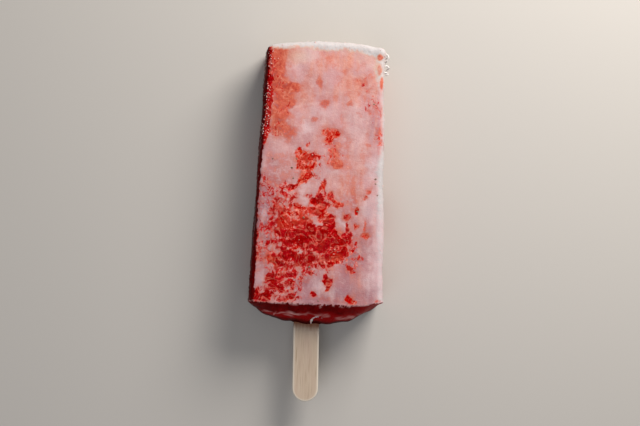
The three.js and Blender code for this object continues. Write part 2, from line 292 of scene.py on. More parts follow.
# Pulp that lies under a veil of cream: soft coral patches and spots, in rows like those of the clots.
VEILS = (
    # the layer of pulp down the tip's left corner
    (-19, 94.6, 4.2, 7.4, 1.2), (-18.4, 85, 4.2, 6, 1), (-12.6, 83.2, 3.9, 2.1, 1.1, -8),
    (-15.8, 79.6, 4.2, 4.4, 0.95), (-12.8, 77, 2.4, 2, 0.85), (-16.8, 73.4, 3.8, 4.2, 0.95),
    (-17.4, 68, 3.4, 3.6, 0.9), (-13.2, 65.8, 3.4, 2.8, 0.8), (-13.8, 62.6, 1.6, 1.4, 0.45),
    # the spots in the cream on its right
    (-7, 88.8, 0.9, 1.3, 0.42), (-2.2, 85.8, 1.5, 2.3, 0.7), (-1.6, 83.4, 1, 1, 0.36),
    (0.9, 94.4, 1.2, 1.4, 0.4), (-2, 96.4, 1.2, 1, 0.34), (0.4, 77.4, 1.9, 1.7, 0.78),
    (9.9, 77.8, 1.5, 1.2, 0.62), (8.8, 80.8, 1, 1, 0.34), (-3.5, 71, 1.5, 1, 0.62),
    (-3.6, 80.2, 0.8, 0.8, 0.44), (8.2, 89.8, 1.3, 1.6, 0.42), (13, 86, 1.4, 0.9, 0.5),
    (15.2, 86.4, 1.5, 1.3, 0.56), (16.6, 83.4, 1, 1.2, 0.5), (21.6, 84, 0.9, 1.8, 0.55),
    (16.6, 79, 1.6, 2, 0.42), (20, 77, 2, 1.6, 0.45), (17.6, 74.8, 1, 0.9, 0.6), (22, 74.6, 0.6, 1.8, 0.55),
    (22.2, 67.2, 0.9, 1.1, 0.75), (22.5, 63.4, 1, 1, 0.72), (18, 62.2, 1, 1, 0.55), (17, 66, 0.7, 1.2, 0.4),
    (22.4, 59.4, 1.2, 1.4, 0.45),
    # the thin parts of the clots below them
    (3.2, 65.9, 3.3, 2, 1.2), (2.6, 63.6, 1.7, 2.3, 1.2), (5.4, 65.9, 1.3, 1.1, 1.2),
    (-7, 55.6, 3.6, 3, 0.85), (-6.2, 50, 2.4, 3, 0.85, 12), (1.1, 46, 0.9, 1.8, 0.9),
    (4.1, 42.4, 1.5, 1.4, 0.9, -20), (7.2, 38.2, 2.5, 1.3, 0.9), (19.1, 43.4, 1, 1, 0.9),
    (17.9, 26.8, 1.9, 1.1, 1.1), (17.3, 30, 0.7, 2.6, 0.8), (-5.5, 61, 0.8, 0.9, 0.7),
    (6.1, 54.3, 2.4, 1.9, 1.3), (5, 58.8, 2.4, 2.8, 0.8), (12.9, 40.6, 1.3, 5.6, 0.6),
    (12.6, 47, 1, 4.2, 0.44), (9.6, 36, 5, 6, 0.32), (5, 40.6, 2.6, 2.8, 0.4), (17.6, 28, 1.8, 3.6, 0.36),
    (-0.6, 48.6, 0.7, 0.7, 0.45), (-6.4, 52, 5, 7.6, 0.3), (3.4, 61, 4.4, 5, 0.3), (-16, 46.4, 6, 1.2, 0.4),
    (-4.4, 10.4, 3, 2.4, 0.4), (5, 1.6, 4, 1.6, 0.36), (9.8, 55, 1.8, 3.6, 0.42),
    (-17.4, 46.6, 4, 2.2, 0.55), (-16.4, 54, 5.4, 4.6, 0.36), (-14.6, 49.4, 5, 3, 0.4),
    (10, 42.6, 2, 3, 0.36), (3.8, 8.8, 2, 3.2, 0.4), (10, 46, 5, 7, 0.24), (-21.6, 17, 2.2, 4.4, 0.5),
    (13.2, 1.8, 3.2, 2.2, 0.45), (11.6, 24, 4.6, 7, 0.34), (7, 13, 6, 4, 0.26),
    (-16.6, 50.6, 0.9, 0.6, 0.36), (10.2, 58, 1.2, 3, 0.3), (11, 33.6, 1.4, 1.4, 0.8),
    (14, 30, 0.9, 2, 0.75), (17.6, 41.2, 1, 1, 0.8), (15, 12, 1.4, 3, 0.34), (14.6, 24, 1, 4.6, 0.32),
    (3.6, 92, 1.4, 1.8, 0.4), (-2.4, 91, 0.9, 2.6, 0.34), (5.4, 86.4, 1, 2.4, 0.34),
    (9.2, 84.6, 0.9, 2.2, 0.36), (12.8, 81.6, 1.4, 1.6, 0.4), (4, 79.6, 1, 1.6, 0.34),
    (-6.6, 76.4, 1, 1.8, 0.36), (13.6, 73, 1.2, 1.8, 0.36), (7.4, 72, 1, 2.6, 0.3),
    (17.6, 88.6, 1.2, 1.8, 0.44), (5.4, 61.2, 2.6, 3, 0.5), (9.6, 62.4, 1.4, 3, 0.46), (16, 57, 1, 4, 0.36),
    (7.4, 47, 1, 4, 0.34), (15.6, 48, 0.9, 4, 0.36),
)

# Spots at the right edge by the tip, where the frost hasn't taken.
EDGE_SPOTS = (
    (20.9, 96.4, 1.2, 1.4, 1), (21.2, 91.4, 1, 2.3, 0.7), (22.1, 86.2, 0.8, 2.8, 0.85),
)
PALE_OVAL = ((-10.8, 92.2, 4.4, 7.2, 1),)  # the clean cream that ends the pulp at the tip's left

# Pulp that is coral where it shows, as it is thin or less ripe.
BRIGHTS = (
    (2.6, 65.4, 5, 4.4, 1), (-6.4, 53, 6.4, 8, 0.8), (-8, 34.4, 6.4, 3.6, 0.7), (-1, 37, 2.6, 3, 0.4),
    (5.6, 56.6, 4.6, 3.6, 1), (8, 39.4, 4.6, 3.4, 0.85), (17.4, 34, 4, 12, 0.9), (2, 34.6, 2.4, 2.6, 0.8),
    (-13.2, 30.8, 2.6, 2.4, 0.65), (-15, 62, 7, 6, 0.6), (7.4, 17.8, 1.8, 2.6, 0.8), (-18, 16, 2, 1.6, 0.8),
    (14, 18, 3, 5, 0.5), (13, 1.8, 3.2, 2.4, 1), (4, 7, 1.2, 1.8, 0.6), (-9, 20.6, 2, 1.6, 0.45),
    (22, 66, 2, 8, 0.8), (1, 46, 1.4, 2.2, 0.9), (-9.6, 56.8, 2.4, 3.4, 0.9), (-7.6, 48.6, 3.4, 3.4, 1),
    (23.4, 1.6, 1.8, 1.8, 1),
)

# Where the two are marbled finely, in crumbs and curls: the fifth number is how thickly.
MARBLED = (
    (-15.6, 31, 6, 8, 0.5), (-16.6, 20, 5.6, 6, 0.54), (-12, 14, 7.4, 4, 0.5), (-15.4, 40.8, 7, 5.6, 0.42),
    (-3, 16.6, 7.4, 4.6, 0.52), (8, 22, 5.8, 6.4, 0.52), (-13.4, 7.4, 7.4, 4.4, 0.48),
    (-19.6, 2.4, 5.6, 2.6, 0.46), (13.2, 20.2, 3.8, 7.6, 0.34), (6, 38.8, 4.4, 3.6, 0.34),
    (-5, 52.6, 5.6, 6.6, 0.34), (-18, 66.4, 4.6, 4.4, 0.24), (19.6, 76, 3.8, 5, 0.28),
    (14.8, 85, 3.6, 3.2, 0.2), (21.4, 65.6, 1.8, 6, 0.34), (-22.4, 28, 2.4, 16, 0.3), (-22.6, 45, 2, 5, 0.3),
    (3.8, 57, 4.2, 4, 0.3), (12.8, 1.8, 3.6, 2.2, 0.3), (-20.4, 86, 1.8, 11, 0.42), (-10, 2, 5, 2.4, 0.36),
    (-16.6, 84, 1.6, 2.6, 0.38), (-15.6, 75.4, 3.4, 4, 0.26), (-9.4, 42, 1.5, 4.4, 0.44),
    (-20.4, 23.4, 2.6, 4.6, 0.42), (2, 15.2, 4, 2.4, 0.46),
)

# Clean cream, pale or lilac, that shows through: the fifth number is how clean.
POOLS = (
    (-11, 90.4, 3.4, 4.8, 0.75), (-7.4, 67, 6.4, 3.2, 0.85, 24), (-17, 58.6, 5, 3.4, 0.5, 10),
    (-3.8, 46.9, 1.2, 3.6, 0.8, -40), (-6.4, 42.4, 1.2, 3.2, 0.8, -14), (-5.9, 38.8, 1.3, 1.8, 0.9),
    (-3.4, 33, 1.9, 0.9, 1, -22), (-0.8, 31.2, 1.9, 0.9, 1, -22), (-17.6, 21, 1.6, 1.9, 0.85),
    (-14.4, 22.4, 1.1, 1.8, 0.85, -20), (-12.2, 38.6, 1, 3, 0.8, 6), (8.2, 30.6, 2.3, 5.6, 0.95, 4),
    (4.6, 50.4, 5.2, 4, 0.45), (-6.6, 19.8, 1.4, 0.8, 0.9, -38), (-1, 19.6, 1.2, 0.8, 0.9, -35),
    (-0.6, 8, 3.6, 4.6, 0.85), (-22, 9.4, 2.2, 5.4, 0.9), (21.8, 14, 3, 13, 0.85), (19.6, 37.4, 4.4, 6, 0.8),
    (20.6, 53, 3.4, 6, 0.9), (13.6, 66, 4, 12, 0.62), (-1.8, 75, 7, 4, 0.5), (18.8, 67, 1.4, 2.2, 0.7),
    (21.8, 80.8, 1.6, 2, 0.5), (-22.8, 52.6, 1.8, 4.6, 0.8), (8, 4.6, 4.6, 4.4, 0.6),
    (-21.6, 32.6, 1.4, 3, 0.8), (-10.6, 36.4, 0.7, 0.9, 0.9), (17.6, 92.4, 2.6, 4.4, 0.8),
    (-9, 96.4, 6, 3.6, 0.9),
)

# Cream that the pulp's juice has turned peach.
PEACHES = (
    (8.6, 93.8, 11, 4.4, 0.9), (-3.4, 92, 4, 6.4, 0.55), (12, 84, 8.4, 6, 0.75), (-9.4, 80, 6.4, 6, 0.7),
    (2.6, 83, 7, 5, 0.5), (13.4, 60, 4.4, 12, 0.42), (10, 46, 5, 5.4, 0.5), (20.4, 88, 2.6, 8.6, 0.7),
    (-12.4, 70, 5, 6, 0.5), (16.2, 39.6, 4.4, 5.6, 0.35), (21, 70, 2.6, 7, 0.4), (-11.4, 96, 4.6, 4, 1),
)

# Cream over deep pulp, which dulls it to mauve. The rows down the left edge are painted shade, darker where
# the rounded edge turns from the light.
MAUVES = (
    (8, 3, 16, 7.6, 1), (12.6, 16, 5, 10, 0.9), (-4, 8.6, 7, 4.4, 1), (-20.6, 26, 5.4, 26, 1),
    (-18, 43, 7, 5, 0.45), (11, 33, 4.4, 8, 0.4), (2, 61, 5, 4, 0.3), (-8, 64, 5, 3.6, 0.25),
    (20.6, 67.6, 1.6, 2.2, 0.9), (3, 14.6, 5, 3, 0.8), (18.4, 27, 2.6, 5, 0.8), (18.6, 37, 3, 8, 0.5),
    (-23.6, 50, 2, 9, 0.8), (21, 29, 3, 4, 0.9), (20, 72, 3.4, 8, 0.5),
)

CLOT_DEPTH = 5  # how far a clot reaches into the bar
FRONT = BASE_THICKNESS - 0.8  # the clots' own level, just under the front face

corners, block_quads = box_skin(CELLS_ACROSS, CELLS_ALONG, CELLS_THROUGH)
skin, way_out, on_base = block_surface(corners)
skin_x, skin_y, skin_z = skin.T
on_front = smooth(skin_z, 19, 22.5)  # 1 on the front face, 0 low on the sides and on the back
off_front = 1 - on_front

# The clots' edges wander, as two sizes of noise have pushed the marbling about.
wander = np.stack(
    [0.8 * noise(skin, 4.2, seed) + 0.55 * noise(skin, 1.6, seed + 1) for seed in (11, 21, 31)], axis=1)


def clot_field(rows, stirring, fade_from, fade_to):
    """The strongest of the rows at each point of the skin, which is pushed along by a share of the wander:
    each row is an ellipsoid in the front face that fades at its rim."""
    x, y, z = (skin + stirring * wander).T
    below = (FRONT - z).clip(0) / CLOT_DEPTH
    strongest = np.zeros(len(skin))
    for row_x, row_y, across, along, strength, *lean in rows:
        turn = math.radians(sum(lean))
        c, s = math.cos(turn), math.sin(turn)
        dx, dy = x - row_x, y - row_y
        distance = np.sqrt(((c * dx + s * dy) / across) ** 2 + ((c * dy - s * dx) / along) ** 2 + below ** 2)
        strongest = np.maximum(strongest, strength * (1 - smooth(distance, fade_from, fade_to)))
    return strongest


shaken = skin + 0.35 * np.stack([noise(skin, 1.1, seed) for seed in (14, 24, 34)], axis=1)
chunk_edge, chunk_tone = chunks(shaken, 1.5, 101)
front_pulp = 1.08 * clot_field(CLOTS, 1, 0.8, 1.45)
front_pulp = np.maximum(front_pulp, clot_field(MARBLED, 2.5, 0.5, 1.5))
front_pulp *= 1 - 0.8 * smooth(clot_field(POOLS, 0.8, 0.6, 1.2), 0.6, 0.95)
edge_spots = clot_field(EDGE_SPOTS, 0.4, 0.6, 1.4)
front_veil = np.maximum(clot_field(VEILS, 1, 0.6, 1.5), 0.8 * clot_field(CLOTS, 1, 0.8, 1.7))
front_veil = np.maximum(front_veil, edge_spots)
front_veil *= 1 - 0.9 * clot_field(PALE_OVAL, 0.5, 0.85, 1.15)
front_veil = np.maximum(front_veil, 1.05 * clot_field(MARBLED, 0, 0.5, 1.6))
bright = clot_field(BRIGHTS, 2, 0.5, 1.5)

# Away from the front the marbling is stirred at random: great clots, veils round them, and fine marbling.
right_side = smooth(skin_x, 15, 22)
great = fractal_noise(skin, 17, 4, 41) - 0.08 * right_side
random_pulp = np.maximum(0.95 * smooth(great, 0.05, 0.35), 0.7 * smooth(noise(skin, 3.4, 51), 0.42, 0.72))
random_pulp = np.maximum(random_pulp, 0.34 * smooth(fractal_noise(skin, 23, 2, 43), 0.1, 0.45))
random_veil = smooth(great, -0.2, 0.2) * (1 - 0.3 * right_side)
pulp = on_front * front_pulp + off_front * random_pulp
by_chunk = (0.24 + 0.26 * smooth(pulp, 0.5, 0.8)) * (1 - 0.6 * on_front * bright)
pulp += smooth(pulp, 0.05, 0.3) * (by_chunk * (chunk_tone - 0.5) + 0.14 * (0.62 - chunk_edge))
veil = on_front * front_veil + off_front * random_veil
blush = on_front * clot_field(CLOTS + VEILS, 2, 1, 2.4) + off_front * random_veil
clean = on_front * clot_field(POOLS, 2.2, 0.3, 1.6) + off_front * smooth(-great, 0.1, 0.5)
peach = on_front * clot_field(PEACHES, 2.6, 0.2, 1.7)
peach += 0.8 * off_front * smooth(skin_y, 55, 95)
mauve = on_front * clot_field(MAUVES, 2.6, 0.2, 1.7)
# Away from the front it is also darker and mauve towards the base.
mauve += 0.7 * off_front * smooth(-skin_y, -45, -5)

# The left edge is whole pulp, as wide as its rounded corner towards the tip. The side below it is dark
# syrup, which ran down it from the base and ends raggedly low on the side.
half_width = half_width_at(skin_y)
from_left, from_right = half_width + skin_x, half_width - skin_x
band = 0.3 + 3.2 * smooth(skin_y, 57, 66) - 1.2 * smooth(skin_y, 86, 94)
band += 0.7 * noise(skin, 3, 61) + 0.4 * noise(skin, 1.2, 62)
pulp = np.maximum(pulp, (0.92 + 0.5 * (chunk_tone - 0.5)) * smooth(band - from_left, -0.7, 0.5))
side_band = 1.2 + 0.9 * (1 - smooth(skin_y, 0, 40)) + 0.5 * noise(skin, 2.4, 63) + 0.4 * noise(skin, 1, 66)
run_down = fractal_noise(skin * (1, 0.5, 1), 12, 3, 67)
left_syrup = smooth(side_band - from_left, -0.5, 0.4) * smooth(skin_z + 9 * run_down, 2, 4.5)
from_rim = np.minimum(half_width - np.abs(skin_x), HALF_BASE - np.abs(skin_z - HALF_BASE))
ragged_rim = from_rim + 0.5 * noise(skin, 1.6, 64) + 0.4 * noise(skin, 0.8, 65)
syrup = np.maximum(left_syrup, on_base * smooth(ragged_rim, -0.1, 0.3))
pulp = np.where(on_base, 0, pulp)
# The lip's rim: its relief is calmed, and the shader paints it pale in patches, a painted highlight where the
# edge catches the light.
rim_cream = 1 - np.where(on_base, smooth(ragged_rim, 0.1, 0.5), smooth(skin_y, 0.1, 0.7))

# Frost: grey-white along the tip, thin at its left and deeper towards its right, and down the right edge,
# where it thins to a bloom that is also a painted highlight on the lit rounded edge. It is kept off the dark
# left side.
tip_edge = BLOCK_LENGTH + TIP_CROWN * (1 - share_out(skin_x, TIP_CROWN_X, half_width) ** 2)
frost_depth = 1.5 + 1.6 * smooth(skin_x, -12, 2) + 1.1 * smooth(skin_x, 8, 20)
from_tip = tip_edge - skin_y - frost_depth + 0.7 * noise(skin, 4, 71)
ragged_frost = 0.8 * noise(skin, 1.3, 73)
frost = smooth(ragged_frost - from_tip, -1.4, 1.2)
frost = np.maximum(frost, 0.2 * smooth(2 * ragged_frost - from_tip, -7, -1) * smooth(skin_x, -4, 14))
edge_frost = smooth(3.4 - from_right + 1.4 * noise(skin, 3.4, 74) + ragged_frost, -1.6, 2.2)
edge_frost *= smooth(skin_y + 5 * noise(skin, 7, 76), 76 + 10 * off_front, 88 + 8 * off_front)
bloom_width = 1.2 + 1.6 * smooth(-skin_y, -62, -54) + 0.8 * noise(skin, 5, 75)
edge_bloom = smooth(bloom_width - from_right, -1.8, 1.4) * (0.5 + 0.4 * smooth(skin_y, 26, 50))
edge_bloom *= smooth(skin_z + 5 * fractal_noise(skin, 9, 3, 77), 12, 20) * (1 - on_base)
# So the frost field holds the bloom's painted highlight too.
frost = np.maximum(np.maximum(frost, 0.8 * edge_frost), edge_bloom)
frost *= (0.75 + 0.25 * smooth(noise(skin, 5, 72), -0.5, 0.1)) * (1 - edge_spots)
frost *= np.maximum(smooth(from_left + 0.8 * noise(skin, 2, 78), 1, 2.6), smooth(-from_tip, 0.6, 1.4))

# The cream is warm under the frost's lower edge, and in one soft patch at the tip's left.
warm_cream = 0.26 * np.exp(-((skin_x + 10.4) / 5.4) ** 2 - ((skin_y - 95.6) / 3.4) ** 2)
warm_cream = np.maximum(warm_cream, frost * smooth(skin_y, 84, 94)) * on_front

# Cream drawn out across the dome where the bar tore from its mould; its pale pink also stands as a painted
# wet highlight. Each row is a streak's middle, as x and how far it stands below the base's edge, its half
# length and half height, and how pale it is.
DOME_STREAKS = (
    (-18.6, 3.4, 1.6, 0.22, 0.6), (-15.4, 4, 0.4, 0.7, 1), (-12.6, 4, 2.4, 0.22, 0.9),
    (-8.4, 3.7, 2.2, 0.3, 1.2), (-10.6, 4.7, 1.6, 0.2, 0.7), (-5.2, 4.3, 1.8, 0.26, 0.9),
    (-2.6, 3.7, 1.4, 0.24, 0.6), (1.2, 3.9, 2.2, 0.4, 0.8), (4.4, 4.5, 1.2, 0.5, 0.6),
    (10.8, 5, 2.4, 0.55, 0.8), (14.4, 4.6, 2, 0.4, 0.9), (18, 3.4, 1.6, 0.25, 0.5),
)
stretched = skin * (0.35, 1, 1.6)
bulge = dome_depth(skin_x, skin_z)
across_dome = skin_x + 1.2 * noise(skin, 3, 83)
down_dome = bulge + 0.45 * noise(stretched, 1.4, 84)
streak = np.zeros(len(skin))
for x, down, half_length, half_height, pale in DOME_STREAKS:
    distance = np.hypot((across_dome - x) / half_length, (down_dome - down) / half_height)
    streak = np.maximum(streak, pale * (1 - smooth(distance, 0.5, 1.5)))
streak *= on_base * (0.75 + 0.6 * noise(stretched, 0.9, 85))
streak *= smooth(skin_z + 1.5 * noise(skin, 3, 86), 14.5, 17)

# The dome's syrup is painted lighter low in front and at its right end, a painted light on its lower band,
# and painted darker underneath and down the left side, a painted shade.
lower_dome = smooth(bulge + 0.5 * noise(stretched, 2.5, 82), 2.6, 4.2)
lower_dome = on_base * np.maximum(lower_dome, 0.8 * smooth(skin_x, 11, 20))
lower_dome *= smooth(skin_z + 1.2 * noise(stretched, 2, 87), 14.5, 17.5)
deep = on_base * (1 - smooth(skin_z + 2.4 * fractal_noise(stretched, 4, 3, 88), 14, 18))
# Down the left side the syrup is darkened as well, as painted shade, more in some runs than in others.
deep = np.maximum(deep, (0.5 + 0.5 * run_down) * left_syrup * (1 - on_base))

# The cream is smeared along the bar, and the right edge of the front is painted pale, a painted highlight
# where the rounded edge catches the light.
smear = noise(skin * (1, 0.13, 1), 2.2, 91) + 0.6 * noise(skin * (1, 0.2, 1), 1.1, 93)
peach += 0.55 * smear
right_edge = smooth(-from_right, -4.6, -1) * smooth(-skin_y, -62, -52) * (0.35 + 0.65 * on_front)
clean = 0.8 * (clean + 0.34 * smear * smooth(clean, 0, 0.3))
clean = np.maximum(clean, right_edge * (1.1 + 0.2 * noise(skin, 9, 92)))
blush = 0.9 * (blush * (1 - 0.8 * right_edge)).clip(0, 1.2)

# The fine relief, in millimetres: grains in the pulp, pits in the syrup, and crumbs in the frost, which has
# heaped on the corner that the curls of frost grow from. The torn lip is calmer, and the back rests flat.
HEAP_HEIGHT, HEAP_REACH, HEAP_PLACE = 0.9, 2.4, (22.4, 98.8, 21)
LIP_CALM = 0.6
crumbs = chunks(skin, 1.1, 102)[0] - 0.6
relief = 0.05 * fractal_noise(skin, 5, 3, 103)
relief -= pulp.clip(0, 1) * (0.10 + 0.36 * (chunk_edge ** 2 - 0.4) - 0.20 * (chunk_tone - 0.5))
relief -= left_syrup * (0.05 + 0.20 * crumbs)
relief -= frost * (0.26 * crumbs - 0.12 * noise(skin, 2.6, 105))
relief += HEAP_HEIGHT * np.exp(-((skin - HEAP_PLACE) ** 2).sum(axis=1) / HEAP_REACH ** 2)
rest = smooth(skin_z, 0, 1)
relief = relief * rest - (1 - rest) * np.abs(relief)
block_points = skin + way_out * (relief * (1 - LIP_CALM * rim_cream))[:, None]

# The dome's own relief: soft waves, ridges where the cream is drawn out, and a collar up the stick.
COLLAR_HEIGHT, COLLAR_REACH = 0.7, 0.9
stick_x = STICK_X + skin_y * math.tan(STICK_LEAN)
from_stick = np.hypot(
    (np.abs(skin_x - stick_x) - STICK_WIDTH / 2).clip(0),
    (np.abs(skin_z - HALF_BASE) - STICK_THICKNESS / 2).clip(0),
)
collar = COLLAR_HEIGHT * np.exp(-from_stick / COLLAR_REACH)
swell = 0.16 * fractal_noise(skin, 5, 3, 111) + 0.20 * streak + collar
ragged = 0.22 * noise(skin, 2.2, 112) + 0.16 * noise(skin, 1.1, 113)
inside_rim = smooth(from_rim, 0, 1.5)
near_lip = 1 - np.where(on_base, inside_rim, smooth(skin_y, 0, 1.6))
block_points[:, 1] += ragged * near_lip - on_base * swell * inside_rim


def build(name, points, *faces):
    """A smooth object at the origin from points in the pop's frame and one array or more of faces."""
    mesh = bpy.data.meshes.new(name)
    mesh.from_pydata(in_frame(points), [], sum((group.tolist() for group in faces), []), shade_flat=False)
    piece = bpy.data.objects.new(name, mesh)
    bpy.context.scene.collection.objects.link(piece)
    return piece


def paint(piece, **fields):
    """Store each field, one number for each point, as an attribute that a material reads by its name."""
    for name, values in fields.items():
        attribute = piece.data.attributes.new(name, "FLOAT", "POINT")
        attribute.data.foreach_set("value", np.clip(values, 0, 1.2).astype(np.float32))


block = build("frozen_block_ice", block_points, block_quads)
fields = dict(
    pulp=pulp, veil=veil, blush=blush, syrup=syrup, frost=frost, streak=0.9 * streak, deep=deep,
    lower_dome=lower_dome, bright=bright, peach=peach, mauve=mauve, clean=clean, rim=rim_cream,
    tone=chunk_tone, gap=chunk_edge, tan=warm_cream,
)
paint(block, **fields)
normals = np.empty(len(skin) * 3, dtype=np.float32)
block.data.vertex_normals.foreach_get("vector", normals)
block_normals = normals.reshape(-1, 3)


def colour(code):
    """An sRGB hex code as the linear colour that a shader takes."""
    parts = [int(code[k:k + 2], 16) / 255 for k in (1, 3, 5)]
    return (*[c / 12.92 if c <= 0.04045 else ((c + 0.055) / 1.055) ** 2.4 for c in parts], 1)


def plug(node, sockets):
    """Set or link a node's sockets, named or in their order: a number, a hex colour or a node's output."""
    for name, value in sockets.items() if isinstance(sockets, dict) else enumerate(sockets):
        if isinstance(value, bpy.types.NodeSocket):
            node.id_data.links.new(value, node.inputs[name])
        else:
            node.inputs[name].default_value = colour(value) if isinstance(value, str) else value


def add(kind, sockets=(), out=0, stops=None, **settings):
    """Add a node with its settings, its sockets and a ramp's stops to the tree in hand. Gives one output."""
    node = tree.nodes.new("ShaderNode" + kind)
    for name, value in settings.items():
        setattr(node, name, value)
    if stops:
        ramp, places = node.color_ramp.elements, list(stops)
        ramp[0].position, ramp[-1].position = places[0], places[-1]
        for place in places[1:-1]:
            ramp.new(place)
        for mark, code in zip(ramp, stops.values()):
            mark.color = colour(code)
    plug(node, sockets)
    return node.outputs[out]


def material(piece, name):
    """Give a piece a new material that is only a shader and its output. Gives its node tree and shader."""
    made = bpy.data.materials.new(name)
    made.use_nodes = True
    piece.data.materials.append(made)
    return made.node_tree, made.node_tree.nodes["Principled BSDF"]


FACTOR, FIRST, SECOND = 0, 6, 7  # the colour sockets of a Mix node
BLEND = {"data_type": "RGBA", "out": 2}
SUM, PRODUCT = {"operation": "MULTIPLY_ADD"}, {"operation": "MULTIPLY"}  # a Math node adds if not told
STEP = {"interpolation_type": "SMOOTHSTEP"}

# Frozen cream and strawberry, unwrapped from a mould: satin where it is cream, as fat scatters the light
# under the skin, wet and see-through red where it is pulp or syrup, and dull white where frost has grown.
tree, shader = material(block, "frozen strawberry cream")
place = add("TexCoord", out="Object")
field = {name: add("Attribute", out="Fac", attribute_name=name) for name in fields}

# The noises that break up what is painted. Each row is how far one is drawn out along the bar, its grain's
# width in mm, its detail, its roughness and how far it is warped.
grain, mottle, cloud, rime, curl_noise, strand_noise = [
    add("TexNoise", {
        "Vector": add("Mapping", {"Vector": place, "Scale": (1, drawn_out, 1)}), "Scale": 1 / (width * MM),
        "Detail": detail, "Roughness": roughness, "Distortion": warp,
    })
    for drawn_out, width, detail, roughness, warp in (
        (1, 0.9, 3, 0.6, 0), (1, 2.4, 3, 0.6, 0.5), (0.4, 8, 4, 0.55, 0),
        (1, 0.45, 2, 0.6, 0), (0.55, 2.4, 2, 0.5, 1.1), (1, 4.4, 1, 0.5, 1.4),
    )
]

# Curls: where a warped noise passes its middle value there is a thin winding line.
curl_side = add("Math", (curl_noise, -0.5))
curl_gap = add("Math", (curl_side,), operation="ABSOLUTE")
curl = add("MapRange", (curl_gap, 0.01, 0.06, 0.26, -0.07), **STEP)

# How red: the painted pulp, broken up by the grain and the mottle, and by the curls most where it is thin.
thin = add("Math", (field["pulp"], -1.2, 1.5), **SUM)
broken = -0.68
for part, weight in ((curl, thin), (grain, 0.45), (mottle, 0.9)):
    broken = add("Math", (part, weight, broken), **SUM)
any_pulp = add("MapRange", (field["pulp"], 0, 0.3), **STEP)
redness = add("Math", (broken, any_pulp, field["pulp"]), **SUM)
is_pulp = add("MapRange", (redness, 0.24, 0.64), **STEP)

# The cream: lilac pink, mauve over deep pulp and as painted shade down the left edge, peach where juice has
# turned it, pale where it is clean and as a painted highlight on the right edge, all clouded, with pale
# flecks and pink freckles, and pinker round the clots.
cloud_shift = add("Math", (cloud, 1.4, -0.7), **SUM)
peach_sum = add("Math", (field["peach"], cloud_shift), use_clamp=True)
clean_sum = add("Math", (field["clean"], cloud_shift))
clean_part = add("MapRange", (clean_sum, 0, 1.1, 0, 0.75), **STEP)
freckle_noise = add("Math", (grain, 0.7, mottle), **SUM)
fleck_part = add("MapRange", (freckle_noise, 0.84, 0.62, 0, 0.22), **STEP)
freckle = add("MapRange", (freckle_noise, 0.86, 1.10, 0, 0.6), **STEP)
freckle_where = add("Math", (peach_sum, 0.8, 0.15), **SUM)
freckle_part = add("Math", (freckle, freckle_where), **PRODUCT)
pink_part = add("Math", (mottle, field["blush"]), use_clamp=True, **PRODUCT)
cream = "#d1a1a2"
for part, tint in (
    (field["mauve"], "#aa7680"), (peach_sum, "#dd9a8a"), (clean_part, "#e1cbcf"),
    (fleck_part, "#ecd2cc"), (freckle_part, "#c66e62"), (pink_part, "#c87468"),
):
    cream = add("Mix", {FACTOR: part, FIRST: cream, SECOND: tint}, **BLEND)

# The veils: coral seen through cream, granular, with soft edges.
veil_grain = add("Math", (grain, 0.6, field["veil"]), **SUM)
veil_sum = add("Math", (mottle, 1.2, veil_grain), **SUM)
veil_part = add("MapRange", (veil_sum, 1.05, 1.85, 0, 0.92), **STEP)
coral_noise = add("Math", (grain, 0.4, mottle), **SUM)
coral = add("ValToRGB", (coral_noise,), stops={
    0.50: "#a62c20", 0.60: "#bf4632", 0.72: "#cf6046", 0.86: "#da806a", 1.00: "#e8b4a8"})

# The pulp's flesh: pink through bright red to deep red, by how deep it is, with orange clouds; pale strands
# of fibre painted brighter as a painted highlight, each with a line of painted shade beside it as if a wet
# ridge were lit from above; painted shade in the gaps between chunks; and small painted glints.
depth = 0
for part, weight in (
    (mottle, 0.7), (grain, 0.175), (field["tone"], 0.14), (redness, 0.45), (field["bright"], -0.15),
):
    depth = add("Math", (part, weight, depth), **SUM)
flesh = add("ValToRGB", (depth,), stops={
    0.600: "#e4908a", 0.672: "#d84a42", 0.750: "#ca181e", 0.825: "#bc0612", 0.945: "#a4000c"})
tone_cloud = add("Math", (curl_noise, 1.6, field["tone"]), **SUM)
orange_cloud = add("MapRange", (tone_cloud, 1.3, 1.75, 0, 0.15), **STEP)
orange_part = add("Math", (field["bright"], 0.5, orange_cloud), use_clamp=True, **SUM)
strands = add("ValToRGB", (strand_noise,), stops={
    0.43: "#bcbcbc", 0.475: "#fff2e2", 0.50: "#fff2e2", 0.525: "#bcbcbc", 0.555: "#000000",
    0.58: "#000000", 0.62: "#bcbcbc"})
strand_part = add("MapRange", (mottle, 0.35, 0.65, 0.17, 0.05), **STEP)
gap_part = add("MapRange", (field["gap"], 0.82, 1, 0, 0.45), **STEP)
glint_part = add("MapRange", (rime, 0.66, 0.75, 0, 0.6), **STEP)
# Layers: orange, the strands' painted highlight and shade, painted shade in the gaps, and painted glints.
for part, tint, way in (
    (orange_part, "#d84e32", "MIX"), (strand_part, strands, "LINEAR_LIGHT"),
    (gap_part, "#8e0002", "MIX"), (glint_part, "#e6a89c", "MIX"),
):
    layer = {FACTOR: part, FIRST: flesh, SECOND: tint}
    flesh = add("Mix", layer, blend_type=way, clamp_result=True, **BLEND)

# The dark syrup, with painted light low on the dome and painted shade underneath and down the left side, with
# a grainy edge.
dark = add("ValToRGB", (mottle,), stops={0.30: "#560001", 0.55: "#740002", 0.75: "#8c0205"})
for part, tint in ((field["lower_dome"], "#a0060a"), (field["deep"], "#420001")):
    dark = add("Mix", {FACTOR: part, FIRST: dark, SECOND: tint}, **BLEND)
syrup_sum = add("Math", (grain, 0.8, field["syrup"]), **SUM)
is_syrup = add("MapRange", (syrup_sum, 0.7, 1), **STEP)

